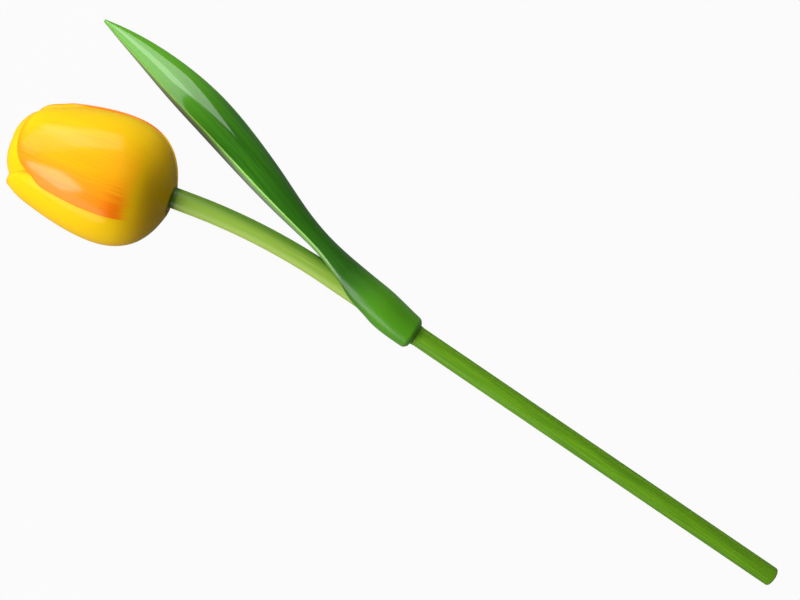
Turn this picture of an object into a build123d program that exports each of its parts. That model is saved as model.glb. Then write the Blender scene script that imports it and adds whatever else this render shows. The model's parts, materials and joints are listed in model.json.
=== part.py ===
from build123d import *
from math import asin, atan2, cos, degrees, hypot, radians, sin, tan
import os

# A painted wooden tulip: a bent stick for the stem, a carved leaf whose sleeve slips
# over the stick, and a carved flower head pushed on the stick's end. Each piece is
# modelled about its own axis. The stem stands on its foot and carries the other two,
# and the whole tulip is then laid down the way it rests on a table: on its foot, on
# the belly of the flower head and on the leaf's tip.
#
# Upright frame: +Z up the lower stem, +Y the leaf's side, +X what faces the sky once
# the tulip lies down.

# Stem
foot_radius = 3.9  # sanded lower stick, the stretch a vase or hole takes
stick_radius = 4.1  # under the leaf's sleeve and above it
foot_dome = 0.5  # height of the rounded foot end
foot_easing = 0.8  # rounding of the foot's corner
free_length = 169.0  # foot end to the shoulder
shoulder_length = 1.0  # cone between the two radii
straight_length = 210.6  # foot end to the start of the bend
bend_radius = 230.7
bend_angle = 14.5  # degrees
neck_length = 8.5  # straight piece from the bend to the head
tenon_length = 18.0  # what the head covers
tenon_chamfer = 0.6

# Leaf
leaf_seat = 0.8  # shoulder to the sleeve's lower end
leaf_length = 168.0  # sleeve's lower end to the tip, along the stem
leaf_spread = 33.2  # how far the tip stands off the stem, sideways
leaf_droop = 33.0  # how far the tip hangs below the stem's axis
sleeve_width = 14.7  # outer diameter at its fullest
blade_width = 16.8
blade_crown = 2.7  # rise of the blade's outer face over its chord
edge_thickness = 4.5  # thickness of the blade's upper edge
lower_edge_share = 0.5  # thickness of the lower edge against the upper one
bore_clearance = 0.1
mouth_chamfer = 0.7
bore_share = 0.34  # how far up the leaf the bore runs

# Sleeve and neck, then blade, from the lower end to the tip. Each row is a section:
# height on leaf_length; place sideways on leaf_spread and below the axis on leaf_droop;
# width; outer rise and inner belly on half the sleeve's width; edge on edge_thickness.
# The last number is the turn of the outer face from the sky, in degrees.
sleeve_shares = [
    (0.000, -0.010, -0.003, 0.700, 0.690, 0.650, 0.06, 30.0),
    (0.004, -0.009, -0.004, 0.812, 0.800, 0.760, 0.06, 30.0),
    (0.015, -0.006, -0.006, 0.908, 0.895, 0.855, 0.06, 30.0),
    (0.054, 0.012, -0.012, 0.975, 0.970, 0.930, 0.06, 30.0),
    (0.101, 0.044, -0.024, 1.000, 1.000, 0.940, 0.10, 29.0),
    (0.156, 0.096, -0.049, 0.940, 0.770, 0.420, 0.34, 26.0),
    (0.214, 0.173, -0.061, 0.775, 0.470, 0.270, 0.42, 32.0),
    (0.280, 0.263, -0.046, 0.605, 0.330, 0.140, 0.46, 37.0),
]
# Blade: width on blade_width, rise on blade_crown, hollow of the inner face likewise.
blade_shares = [
    (0.352, 0.358, -0.006, 0.560, 0.82, -0.10, 0.67, 35.0),
    (0.442, 0.492, 0.072, 0.768, 0.93, -0.26, 0.85, 32.0),
    (0.549, 0.652, 0.186, 0.940, 1.00, -0.36, 0.98, 30.0),
    (0.656, 0.792, 0.339, 0.994, 1.00, -0.38, 1.00, 28.0),
    (0.769, 0.895, 0.532, 0.875, 0.86, -0.33, 0.89, 26.0),
    (0.876, 0.965, 0.738, 0.577, 0.56, -0.20, 0.67, 24.0),
    (0.954, 0.992, 0.888, 0.274, 0.24, -0.08, 0.44, 22.0),
    (1.000, 1.000, 1.000, 0.062, 0.07, -0.02, 0.22, 20.0),
]

# Flower head
head_radius = 25.0
head_length = 65.6  # base to the tip of the bud
petal_length = 59.3  # base to a petal's tip
petal_count = 3
petal_lean = 2.7  # degrees that each petal leans out of the turned block
bud_lean = 1.5  # the same for the three petals of the bud
petal_lean_turn = -28.7  # degrees from the petal's middle to the way it leans
petal_lap = 0.25  # degrees by which neighbours run into each other
first_petal_turn = 24.2  # degrees from the sky to the middle of the first petal
socket_offset = 1.3  # the socket is drilled a little off the turned axis
socket_clearance = 0.05
socket_spare = 1.5  # depth past the stick's end
socket_chamfer = 0.6
rest_share = 1.002  # height of the head's axis off the table, lying down

# The turned block and the bud inside it, from base to tip: height on petal_length or
# head_length, radius on head_radius.
block_shares = [
    (0.000, 0.244), (0.050, 0.520), (0.146, 0.802), (0.292, 0.958), (0.440, 0.974),
    (0.634, 0.897), (0.828, 0.762), (0.960, 0.627), (1.000, 0.560),
]
bud_shares = [
    (0.000, 0.200), (0.200, 0.780), (0.600, 0.760), (0.780, 0.645), (0.873, 0.553),
    (0.925, 0.460), (0.965, 0.320), (0.990, 0.165), (1.000, 0.020),
]
# One petal's outline seen square on: height on petal_length, half its width on
# head_radius. It starts wide, so that only the tip is cut by it.
tongue_shares = [
    (0.560, 1.100), (0.665, 0.903), (0.765, 0.767), (0.830, 0.670), (0.917, 0.555),
    (0.968, 0.400), (0.992, 0.240), (1.000, 0.000),
]

# What follows from the sizes
overrun = head_radius  # how far cutters run past what they cut
leaf_height = free_length + shoulder_length + leaf_seat
stem_reach = neck_length + tenon_length
bore_radius = stick_radius + bore_clearance
socket_radius = stick_radius + socket_clearance
rest_height = rest_share * head_radius

# Lying down, the head's axis is level: the line of the head crosses the lower stem's
# axis at this distance from the foot, which gives the tilt and the bend's direction.
crossing = straight_length + bend_radius * tan(radians(bend_angle) / 2)
tilt = degrees(asin(rest_height / hypot(crossing, foot_radius)) - atan2(foot_radius, crossing))
bend_turn = degrees(asin(tan(radians(tilt)) / tan(radians(bend_angle))))
bend_side = Vector(-sin(radians(bend_turn)), -cos(radians(bend_turn)), 0)
sky = Vector(cos(radians(tilt)), 0, sin(radians(tilt)))

# The stem: a straight stick, sanded thinner below, with its upper end bent
bend_plane = Plane(
    origin=(0, 0, straight_length), x_dir=bend_side, z_dir=bend_side.cross(Vector(0, 0, 1))
)

with BuildPart() as stem:
    with BuildSketch(Plane.XZ) as stick_profile:
        with BuildLine():
            ThreePointArc(
                (0, 0), (foot_radius / 2, foot_dome / 4), (foot_radius, foot_dome)
            )
            Polyline(
                (foot_radius, foot_dome),
                (foot_radius, free_length),
                (stick_radius, free_length + shoulder_length),
                (stick_radius, straight_length),
                (0, straight_length),
                (0, 0),
            )
        make_face()
        corner = stick_profile.vertices().group_by(Axis.Y)[1]
        fillet(corner, foot_easing)
    revolve(axis=Axis.Z)

    with BuildLine(bend_plane) as bend:
        JernArc(start=(0, 0), tangent=(0, 1), radius=bend_radius, arc_size=-bend_angle)
    with BuildSketch(Plane.XY.offset(straight_length)):
        Circle(stick_radius)
    sweep(path=bend.line)

    neck_plane = Plane(origin=bend.line @ 1, x_dir=sky, z_dir=bend.line % 1)
    with BuildSketch(neck_plane):
        Circle(stick_radius)
    extrude(amount=stem_reach)
    chamfer(stem.edges().group_by(Axis(neck_plane.origin, neck_plane.z_dir))[-1], tenon_chamfer)

# The leaf: a sleeve that opens into a twisted blade
half_sleeve = sleeve_width / 2
leaf_rows = [
    (z, y, x, w * sleeve_width, rise * half_sleeve, belly * half_sleeve, edge, turn)
    for z, y, x, w, rise, belly, edge, turn in sleeve_shares
] + [
    (z, y, x, w * blade_width, rise * blade_crown, belly * blade_crown, edge, turn)
    for z, y, x, w, rise, belly, edge, turn in blade_shares
]

with BuildPart() as leaf:
    for height, side, drop, width, rise, belly, edge, turn in leaf_rows:
        middle = Vector(-drop * leaf_droop, side * leaf_spread)
        out = Vector(cos(radians(turn)), sin(radians(turn)))
        across = Vector(-sin(radians(turn)), cos(radians(turn)))
        upper = middle - across * width / 2
        lower = middle + across * width / 2
        thick = edge * edge_thickness
        upper_back = upper - out * thick
        lower_back = lower - out * thick * lower_edge_share
        inner = (upper_back + lower_back) / 2 - out * belly
        with BuildSketch(Plane.XY.offset(leaf_height + height * leaf_length)):
            with BuildLine():
                ThreePointArc(upper, middle + out * rise, lower)
                Line(lower, lower_back)
                ThreePointArc(lower_back, inner, upper_back)
                Line(upper_back, upper)
            make_face()
    loft()

    with BuildSketch(Plane.XZ) as bore_profile:
        with BuildLine():
            Polyline(
                (0, leaf_height - overrun),
                (bore_radius + mouth_chamfer + overrun, leaf_height - overrun),
                (bore_radius, leaf_height + mouth_chamfer),
                (bore_radius, leaf_height + bore_share * leaf_length),
                (0, leaf_height + bore_share * leaf_length),
                (0, leaf_height - overrun),
            )
        make_face()
    revolve(axis=Axis.Z, mode=Mode.SUBTRACT)

# The flower head: a turned block, carved into petals that lap round a closed bud
half_petal = radians(180 / petal_count + petal_lap)
socket_plane = Plane(origin=(0, socket_offset, 0), x_dir=(1, 0, 0), z_dir=(0, -1, 0))


def leaning_petal(outline, lean):
    """A third of a turned block that leans out from the foot of its axis."""
    way = Vector(cos(radians(petal_lean_turn)), sin(radians(petal_lean_turn)), 0)
    axis = way * sin(radians(lean)) + Vector(0, 0, cos(radians(lean)))
    outward = way * cos(radians(lean)) - Vector(0, 0, sin(radians(lean)))
    with BuildPart() as third:
        with BuildSketch(Plane(origin=(0, 0, 0), x_dir=outward, z_dir=outward.cross(axis))):
            with BuildLine():
                Spline(outline)
                Polyline(outline[-1], (0, outline[-1][1]), (0, 0), outline[0])
            make_face()
        revolve(axis=Axis((0, 0, 0), axis))
        with BuildSketch(Plane.XY.offset(-overrun)):
            with BuildLine():
                Polyline(
                    (0, 0),
                    (2 * overrun, -2 * overrun * tan(half_petal)),
                    (2 * overrun, 2 * overrun * tan(half_petal)),
                    (0, 0),
                )
            make_face()
        extrude(amount=head_length + 2 * overrun, mode=Mode.INTERSECT)
    return third.part


block_points = [(r * head_radius, z * petal_length) for z, r in block_shares]
bud_points = [(r * head_radius, z * head_length) for z, r in bud_shares]
tongue_points = [(y * head_radius, z * petal_length) for z, y in tongue_shares]

with BuildPart() as petal:
    add(leaning_petal(block_points, petal_lean))
    with BuildSketch(Plane.YZ):
        with BuildLine():
            tip = Spline(tongue_points + [(-y, z) for y, z in reversed(tongue_points[:-1])])
            Polyline(tip @ 1, (-2 * overrun, 0), (2 * overrun, 0), tip @ 0)
        make_face()
    extrude(amount=2 * overrun, mode=Mode.INTERSECT)

with BuildPart() as flower_head:
    with PolarLocations(0, petal_count, start_angle=first_petal_turn + 180 / petal_count):
        add(leaning_petal(bud_points, bud_lean))
    with PolarLocations(0, petal_count, start_angle=first_petal_turn):
        add(petal.part)
    with BuildSketch(socket_plane):
        with BuildLine():
            Polyline(
                (0, -socket_chamfer),
                (socket_radius + 2 * socket_chamfer, -socket_chamfer),
                (socket_radius, socket_chamfer),
                (socket_radius, tenon_length + socket_spare),
                (0, tenon_length + socket_spare),
                (0, -socket_chamfer),
            )
        make_face()
    revolve(axis=Axis(socket_plane.origin, (0, 0, 1)), mode=Mode.SUBTRACT)

# The head sits on the stick with its own axis beside the stick's by the socket's offset.
neck_end = neck_plane.origin + neck_plane.z_dir * neck_length
head_plane = Plane(
    origin=neck_end - neck_plane.y_dir * socket_offset,
    x_dir=neck_plane.x_dir,
    z_dir=neck_plane.z_dir,
)
flower_head.part.move(head_plane.location)

# Lay the tulip down, with the origin on the table under its middle
pieces = {"stem": stem, "leaf": leaf, "flower_head": flower_head}
for piece in pieces.values():
    piece.part.move(Location((0, 0, 0), (0, tilt - 90, 0)))
whole = Compound([piece.part for piece in pieces.values()]).bounding_box()
centre = whole.center()
for name, piece in pieces.items():
    piece.part.move(Location((-centre.X, -centre.Y, -whole.min.Z)))
    piece.part.label = name

os.makedirs("parts", exist_ok=True)
export_step(stem.part, "parts/stem.step")
export_step(leaf.part, "parts/leaf.step")
export_step(flower_head.part, "parts/flower_head.step")
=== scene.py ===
"""A painted wooden tulip lying on a pale table: a bent stick, a carved slip-on leaf and a carved head."""

import json
import logging
from collections.abc import Mapping
from dataclasses import dataclass
from enum import Enum
from math import cos, pi, radians, sin

import bmesh
import bpy
import numpy as np
from mathutils import Matrix, Vector


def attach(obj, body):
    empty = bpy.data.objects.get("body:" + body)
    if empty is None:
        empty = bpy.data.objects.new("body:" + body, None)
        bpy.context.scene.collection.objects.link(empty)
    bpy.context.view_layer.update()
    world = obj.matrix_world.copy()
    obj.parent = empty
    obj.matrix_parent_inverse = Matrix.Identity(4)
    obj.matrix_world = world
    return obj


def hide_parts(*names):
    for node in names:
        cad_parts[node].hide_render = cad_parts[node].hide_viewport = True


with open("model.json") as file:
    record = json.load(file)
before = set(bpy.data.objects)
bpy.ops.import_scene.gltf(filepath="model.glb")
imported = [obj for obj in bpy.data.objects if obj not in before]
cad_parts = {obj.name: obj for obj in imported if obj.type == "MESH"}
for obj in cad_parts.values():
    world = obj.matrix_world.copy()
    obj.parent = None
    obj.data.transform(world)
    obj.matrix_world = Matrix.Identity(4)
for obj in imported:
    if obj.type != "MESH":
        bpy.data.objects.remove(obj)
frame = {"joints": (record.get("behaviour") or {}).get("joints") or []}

log = logging.getLogger("tulip")

# Sizes are in millimetres, and Blender's unit is the metre.
MM = 0.001

# Lengths below this count as nothing.
TINY_MM = 0.001

# Points of a drilled piece that are closer together than this are merged.
MERGED_MM = 0.0005

# Attributes that the pieces carry for their paint: the place on the piece as shares, and in millimetres.
SHARE = "share"
PLACE = "place"


class Body(Enum):
    """The bodies of the frame."""

    STEM = "stem"
    LEAF = "leaf"
    FLOWER_HEAD = "flower_head"


class Slot(Enum):
    """The record's material slots."""

    STEM_GREEN = "stem_green"
    LEAF_GREEN = "leaf_green"
    PETAL_YELLOW = "petal_yellow"


# Colours and nodes


def linear(hex_code: str) -> tuple[float, float, float, float]:
    """Turns an sRGB hex colour into linear light.

    Args:
        hex_code: six hex digits.

    Returns:
        Red, green, blue and an alpha of 1.
    """
    parts = [int(hex_code[k:k + 2], 16) / 255 for k in (0, 2, 4)]
    red, green, blue = (c / 12.92 if c <= 0.04045 else ((c + 0.055) / 1.055) ** 2.4 for c in parts)
    return red, green, blue, 1.0


def feed(tree: bpy.types.NodeTree, node: bpy.types.Node, inputs: Mapping) -> None:
    """Gives inputs of a node their values, or the sockets that feed them.

    Args:
        tree: the node's tree.
        node: the node.
        inputs: for each input's name or number, a value or the socket that feeds it.
    """
    for key, value in inputs.items():
        if isinstance(value, bpy.types.NodeSocket):
            tree.links.new(value, node.inputs[key])
        else:
            node.inputs[key].default_value = value


def put(
    tree: bpy.types.NodeTree, kind: str, inputs: Mapping | None = None, **settings: object
) -> bpy.types.Node:
    """Adds one node to a tree.

    Args:
        tree: the tree that gets the node.
        kind: the node's type.
        inputs: for each input's name or number, a value or the socket that feeds it.
        **settings: the node's own settings.

    Returns:
        The new node.
    """
    node = tree.nodes.new(kind)
    for name, value in settings.items():
        setattr(node, name, value)
    feed(tree, node, inputs or {})
    return node


def open_tree(
    name: str, inputs: Mapping[str, str]
) -> tuple[bpy.types.NodeTree, bpy.types.bpy_prop_collection]:
    """Starts a node tree that makes a piece.

    Args:
        name: the tree's name.
        inputs: the kind of socket of each named input.

    Returns:
        The tree, and the sockets of its inputs by their names.
    """
    tree = bpy.data.node_groups.new(name, "GeometryNodeTree")
    for label, kind in inputs.items():
        tree.interface.new_socket(label, in_out="INPUT", socket_type=kind)
    tree.interface.new_socket("Piece", in_out="OUTPUT", socket_type="NodeSocketGeometry")
    return tree, put(tree, "NodeGroupInput").outputs


def close_tree(tree: bpy.types.NodeTree, made: bpy.types.NodeSocket, paint: bpy.types.Material) -> None:
    """Ends a tree with the piece as one real mesh in its paint.

    Args:
        tree: the tree.
        made: the socket that gives the piece.
        paint: the piece's material.
    """
    real = put(tree, "GeometryNodeRealizeInstances", {"Geometry": made})
    done = put(tree, "GeometryNodeSetMaterial", {"Geometry": real.outputs[0], "Material": paint})
    put(tree, "NodeGroupOutput", {0: done.outputs[0]})


def run_tree(piece: bpy.types.Object, tree: bpy.types.NodeTree, values: Mapping) -> None:
    """Runs a tree on a piece, and leaves it a plain mesh.

    Args:
        piece: the object that the tree works on.
        tree: the tree.
        values: a value for each named input of the tree but its geometry.
    """
    making = piece.modifiers.new(tree.name, "NODES")
    making.node_group = tree
    for label, value in values.items():
        making[tree.interface.items_tree[label].identifier] = value
    finish_modifiers(piece)


# Curves and meshes


def smooth_rows(knots: np.ndarray, values: np.ndarray, at: np.ndarray) -> np.ndarray:
    """Runs a natural cubic spline through rows of values.

    Args:
        knots: where each row stands, rising.
        values: one row of numbers for each knot.
        at: where the result is wanted.

    Returns:
        One row for each place in at.
    """
    gaps = np.diff(knots)
    slopes = np.diff(values, axis=0) / gaps[:, None]
    system = np.eye(len(knots))
    right = np.zeros_like(values)
    for k in range(1, len(knots) - 1):
        system[k, k - 1:k + 2] = gaps[k - 1], 2 * (gaps[k - 1] + gaps[k]), gaps[k]
        right[k] = 6 * (slopes[k] - slopes[k - 1])
    bends = np.linalg.solve(system, right)
    cell = np.clip(np.searchsorted(knots, at) - 1, 0, len(gaps) - 1)
    gap = gaps[cell][:, None]
    t = (at - knots[cell])[:, None]
    start, stop = bends[cell], bends[cell + 1]
    steady = slopes[cell] - gap * (2 * start + stop) / 6
    return values[cell] + t * steady + t**2 * start / 2 + t**3 * (stop - start) / (6 * gap)


def smooth_outline(points: np.ndarray, count: int = 400) -> np.ndarray:
    """Runs a spline through the points of an outline, spaced by their distances.

    Args:
        points: the outline's points, two numbers each.
        count: how many points the result has.

    Returns:
        The smooth outline's points.
    """
    knots = np.concatenate([[0.0], np.cumsum(np.linalg.norm(np.diff(points, axis=0), axis=1))])
    return smooth_rows(knots, points, np.linspace(0, knots[-1], count))


def mesh_object(
    name: str, points: np.ndarray, faces: list, marks: Mapping[str, np.ndarray]
) -> bpy.types.Object:
    """Makes a mesh object with its place in its mesh.

    Args:
        name: the object's name.
        points: its vertices, in metres in the row frame.
        faces: vertex numbers for each face.
        marks: vector attributes, a row for each vertex.

    Returns:
        The object, shaded smooth.
    """
    mesh = bpy.data.meshes.new(name)
    mesh.from_pydata(points.tolist(), [], faces)
    for mark, rows in marks.items():
        mesh.attributes.new(mark, "FLOAT_VECTOR", "POINT").data.foreach_set("vector", rows.ravel())
    shell = bmesh.new()
    shell.from_mesh(mesh)
    bmesh.ops.recalc_face_normals(shell, faces=shell.faces)
    if shell.calc_volume(signed=True) < 0:
        bmesh.ops.reverse_faces(shell, faces=shell.faces)
    shell.to_mesh(mesh)
    shell.free()
    mesh.shade_smooth()
    obj = bpy.data.objects.new(name, mesh)
    bpy.context.scene.collection.objects.link(obj)
    return obj


def skinned(
    name: str, loops: np.ndarray, marks: Mapping[str, np.ndarray], place: Matrix
) -> bpy.types.Object:
    """Skins a stack of closed loops into one closed mesh, with a pole at each end.

    Args:
        name: the object's name.
        loops: rows by columns of points, in the piece's own millimetres.
        marks: vector attributes, rows by columns by three.
        place: the matrix from the piece's millimetres to the row frame in metres.

    Returns:
        The object.
    """
    rows, columns, _ = loops.shape
    number = np.arange(rows * columns).reshape(rows, columns)
    beside = np.roll(number, -1, axis=1)
    quads = np.stack([number[:-1], beside[:-1], beside[1:], number[1:]], axis=-1).reshape(-1, 4).tolist()
    first, last = rows * columns, rows * columns + 1
    fans = [[first, b, a] for a, b in zip(number[0].tolist(), beside[0].tolist())]
    fans += [[last, a, b] for a, b in zip(number[-1].tolist(), beside[-1].tolist())]

    def with_poles(grid: np.ndarray) -> np.ndarray:
        """Flattens a grid and adds the middles of its first and last rows."""
        return np.concatenate([grid.reshape(-1, 3), [grid[0].mean(axis=0)], [grid[-1].mean(axis=0)]])

    turn = np.array(place.to_3x3())
    points = with_poles(loops) @ turn.T + np.array(place.translation)
    return mesh_object(name, points, quads + fans, {mark: with_poles(grid) for mark, grid in marks.items()})


def drill_out(piece: bpy.types.Object, drill: bpy.types.Object) -> None:
    """Cuts a drill's shape out of a piece, and removes the drill.

    Args:
        piece: the closed mesh that is drilled.
        drill: the closed mesh of the hole.
    """
    cut = piece.modifiers.new("Drill", "BOOLEAN")
    cut.operation = "DIFFERENCE"
    cut.solver = "EXACT"
    cut.object = drill
    finish_modifiers(piece)
    mended = bmesh.new()
    mended.from_mesh(piece.data)
    bmesh.ops.remove_doubles(mended, verts=mended.verts, dist=MERGED_MM * MM)
    bmesh.ops.dissolve_degenerate(mended, edges=mended.edges, dist=MERGED_MM * MM)
    mended.to_mesh(piece.data)
    mended.free()
    bpy.data.objects.remove(drill)


def finish_modifiers(piece: bpy.types.Object) -> None:
    """Turns a piece with live modifiers into a plain mesh.

    Args:
        piece: the object, whose mesh is replaced by the finished one.
    """
    bpy.context.view_layer.update()
    finished = bpy.data.meshes.new_from_object(piece.evaluated_get(bpy.context.evaluated_depsgraph_get()))
    piece.modifiers.clear()
    piece.data = finished


def turned(
    name: str, profile: list[tuple[float, float]], place: Matrix, columns: int = 96
) -> bpy.types.Object:
    """Makes a turned solid from its profile.

    Args:
        name: the object's name.
        profile: height and radius of each ring, in millimetres.
        place: the matrix from the solid's millimetres to the row frame.
        columns: how many points each ring has.

    Returns:
        The object.
    """
    angles = np.linspace(0, 2 * pi, columns, endpoint=False)
    rings = [[(r * cos(a), r * sin(a), z) for a in angles] for z, r in profile]
    return skinned(name, np.array(rings), {}, place)


# How the tulip lies


@dataclass(frozen=True)
class Lie:
    """How the tulip lies on the table, read from the frame's joints.

    Attributes:
        sleeve_foot: the lower end of the leaf's sleeve on the stick's axis, in millimetres.
        up: the way up the lower stick.
        head_way: the way from the head's base to its tip.
    """

    sleeve_foot: Vector
    up: Vector
    head_way: Vector

    @classmethod
    def from_joints(cls, joints: list[dict]) -> "Lie":
        """Reads the two axes from the leaf's hinge and the head's slide.

        Args:
            joints: the frame's joints.

        Returns:
            The lie of the tulip.
        """
        by_name = {joint["name"]: joint for joint in joints}
        hinge, slide = by_name["leaf_turn"], by_name["head_pull"]
        up, head_way = (Vector(joint["axis"]).normalized() for joint in (hinge, slide))
        return cls(Vector(hinge["pos_m"]) / MM, up, head_way)

    @property
    def bend_side(self) -> Vector:
        """The side to which the stick bends."""
        return (self.head_way - self.up * self.up.dot(self.head_way)).normalized()

    @property
    def bend_angle(self) -> float:
        """The turn of the bend, in radians."""
        return self.up.angle(self.head_way)

    def upright(self, leaf_height: float) -> Matrix:
        """Gives the matrix from upright millimetres, with the foot at the origin, to the row frame.

        Args:
            leaf_height: how far up the stick the leaf's sleeve starts.

        Returns:
            The matrix.
        """
        sky = Vector((0, 0, 1))
        sky = (sky - self.up * self.up.dot(sky)).normalized()
        foot = self.sleeve_foot - self.up * leaf_height
        return placing(foot, sky, self.up)


def placing(origin: Vector, x_way: Vector, z_way: Vector) -> Matrix:
    """Gives the matrix from a piece's own millimetres to the row frame in metres.

    Args:
        origin: where the piece's origin goes, in millimetres.
        x_way: the way of its X axis.
        z_way: the way of its Z axis.

    Returns:
        The matrix.
    """
    turn = Matrix((x_way, z_way.cross(x_way), z_way)).transposed().to_4x4()
    return Matrix.Diagonal((MM, MM, MM, 1)) @ Matrix.Translation(origin) @ turn


# The paints


def new_paint(name: str) -> tuple[bpy.types.Material, bpy.types.NodeTree, bpy.types.Node]:
    """Starts a paint.

    Args:
        name: the material's name.

    Returns:
        The material, its tree and its shader.
    """
    paint = bpy.data.materials.new(name)
    paint.use_nodes = True
    return paint, paint.node_tree, paint.node_tree.nodes["Principled BSDF"]


def streaks(
    tree: bpy.types.NodeTree, place: bpy.types.NodeSocket, sizes_mm: tuple[float, ...], detail: float = 3.0
) -> bpy.types.NodeSocket:
    """Draws the uneven streaks of grain or of a brush.

    Args:
        tree: the paint's tree.
        place: the place on the piece, in millimetres.
        sizes_mm: how far a streak reaches along the place's three axes.
        detail: how many finer layers the streaks have.

    Returns:
        The streaks, mostly between 0.3 and 0.7.
    """
    scale = tuple(1 / size for size in sizes_mm)
    drawn = put(tree, "ShaderNodeMapping", {"Vector": place, "Scale": scale}).outputs["Vector"]
    return put(tree, "ShaderNodeTexNoise", {"Vector": drawn, "Scale": 1.0, "Detail": detail}).outputs["Fac"]


def coated(
    tree: bpy.types.NodeTree, ground: str | bpy.types.NodeSocket, coats: list[tuple]
) -> bpy.types.NodeSocket:
    """Brushes coats of paint over a ground, one after another, each with a soft edge.

    Args:
        tree: the paint's tree.
        ground: the ground's hex colour, or the socket that gives its colour.
        coats: for each coat the socket that guides it, the two values between which it fades in, how
            much it covers then, and its hex colour or the socket that gives its colour.

    Returns:
        The colour.
    """
    colour = linear(ground) if isinstance(ground, str) else ground
    for guide, (start, full), cover, coat in coats:
        fade = {0: guide, 1: start, 2: full, 4: cover}
        share = put(tree, "ShaderNodeMapRange", fade, interpolation_type="SMOOTHSTEP").outputs[0]
        over = linear(coat) if isinstance(coat, str) else coat
        colour = put(tree, "ShaderNodeMix", {0: share, 6: colour, 7: over}, data_type="RGBA").outputs[2]
    return colour


@dataclass(frozen=True)
class StickPaint:
    """Thin green acrylic paint on a turned and sanded lime wood stick.

    The paint is thin enough for the grain's fine lengthwise lines to show, and dries to a satin. Above
    the leaf it is mixed with more yellow, with painted shade along one side and painted light along the
    other. A painted shadow makes it darkest in a ring at the head's socket. The grain is drawn coarser
    than real lime's, so that it shows. Places along the stick are from its foot, and places across are
    from its axis.
    """

    low: str = "73AF1A"
    low_dark: str = "5E9614"
    high: str = "8CB23C"
    high_pale: str = "C3D66E"
    # painted shade along one side of the upper stick
    painted_shade_side: str = "4E8012"
    # painted light along the other side of the upper stick
    painted_light_side: str = "B4D062"
    head_end: str = "7F9E33"
    # painted shadow in a ring where the stick enters the head's socket
    socket_painted_shadow: str = "2F5A14"
    change_mm: tuple[float, float] = (176.0, 196.0)
    # where the painted shade and the painted light lie across the stick, from its axis
    painted_shade_mm: tuple[float, float] = (-0.2, 3.6)
    painted_light_mm: tuple[float, float] = (-0.8, -3.8)
    head_mm: tuple[float, float] = (250.0, 276.0)
    socket_mm: tuple[float, float] = (274.2, 276.4)
    side_cover: float = 0.85
    head_cover: float = 0.4
    socket_cover: float = 0.8
    grain_mm: tuple[float, float, float] = (0.45, 0.45, 26.0)
    cloud_mm: tuple[float, float, float] = (4.5455, 4.5455, 33.333)
    dark_grain: tuple[float, float] = (0.62, 0.36)
    pale_grain: tuple[float, float] = (0.56, 0.72)
    grain_depth_mm: float = 0.05
    grain_relief: float = 0.35
    roughness: float = 0.42
    mirror: float = 0.35

    def material(self) -> bpy.types.Material:
        """Builds the material.

        Returns:
            The material.
        """
        paint, tree, shader = new_paint("Green acrylic on lime stick")
        place = put(tree, "ShaderNodeAttribute", attribute_name=PLACE).outputs["Vector"]
        split = put(tree, "ShaderNodeSeparateXYZ", {"Vector": place}).outputs
        side, along = split["X"], split["Z"]
        grain = streaks(tree, place, self.grain_mm)
        cloud = streaks(tree, place, self.cloud_mm, detail=2.0)
        low = coated(tree, self.low, [(grain, self.dark_grain, 1.0, self.low_dark)])
        high = coated(tree, self.high, [
            (grain, self.pale_grain, cloud, self.high_pale),
            # painted shade, then painted light, along the two sides of the upper stick
            (side, self.painted_shade_mm, self.side_cover, self.painted_shade_side),
            (side, self.painted_light_mm, self.side_cover, self.painted_light_side),
            (along, self.head_mm, self.head_cover, self.head_end),
            # painted shadow in a ring at the head's socket
            (along, self.socket_mm, self.socket_cover, self.socket_painted_shadow),
        ])
        depth = self.grain_depth_mm * MM
        relief = {"Height": grain, "Strength": self.grain_relief, "Distance": depth}
        feed(tree, shader, {
            "Base Color": coated(tree, low, [(along, self.change_mm, 1.0, high)]),
            "Normal": put(tree, "ShaderNodeBump", relief).outputs["Normal"],
            "Roughness": self.roughness,
            "Specular IOR Level": self.mirror,
        })
        return paint


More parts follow.
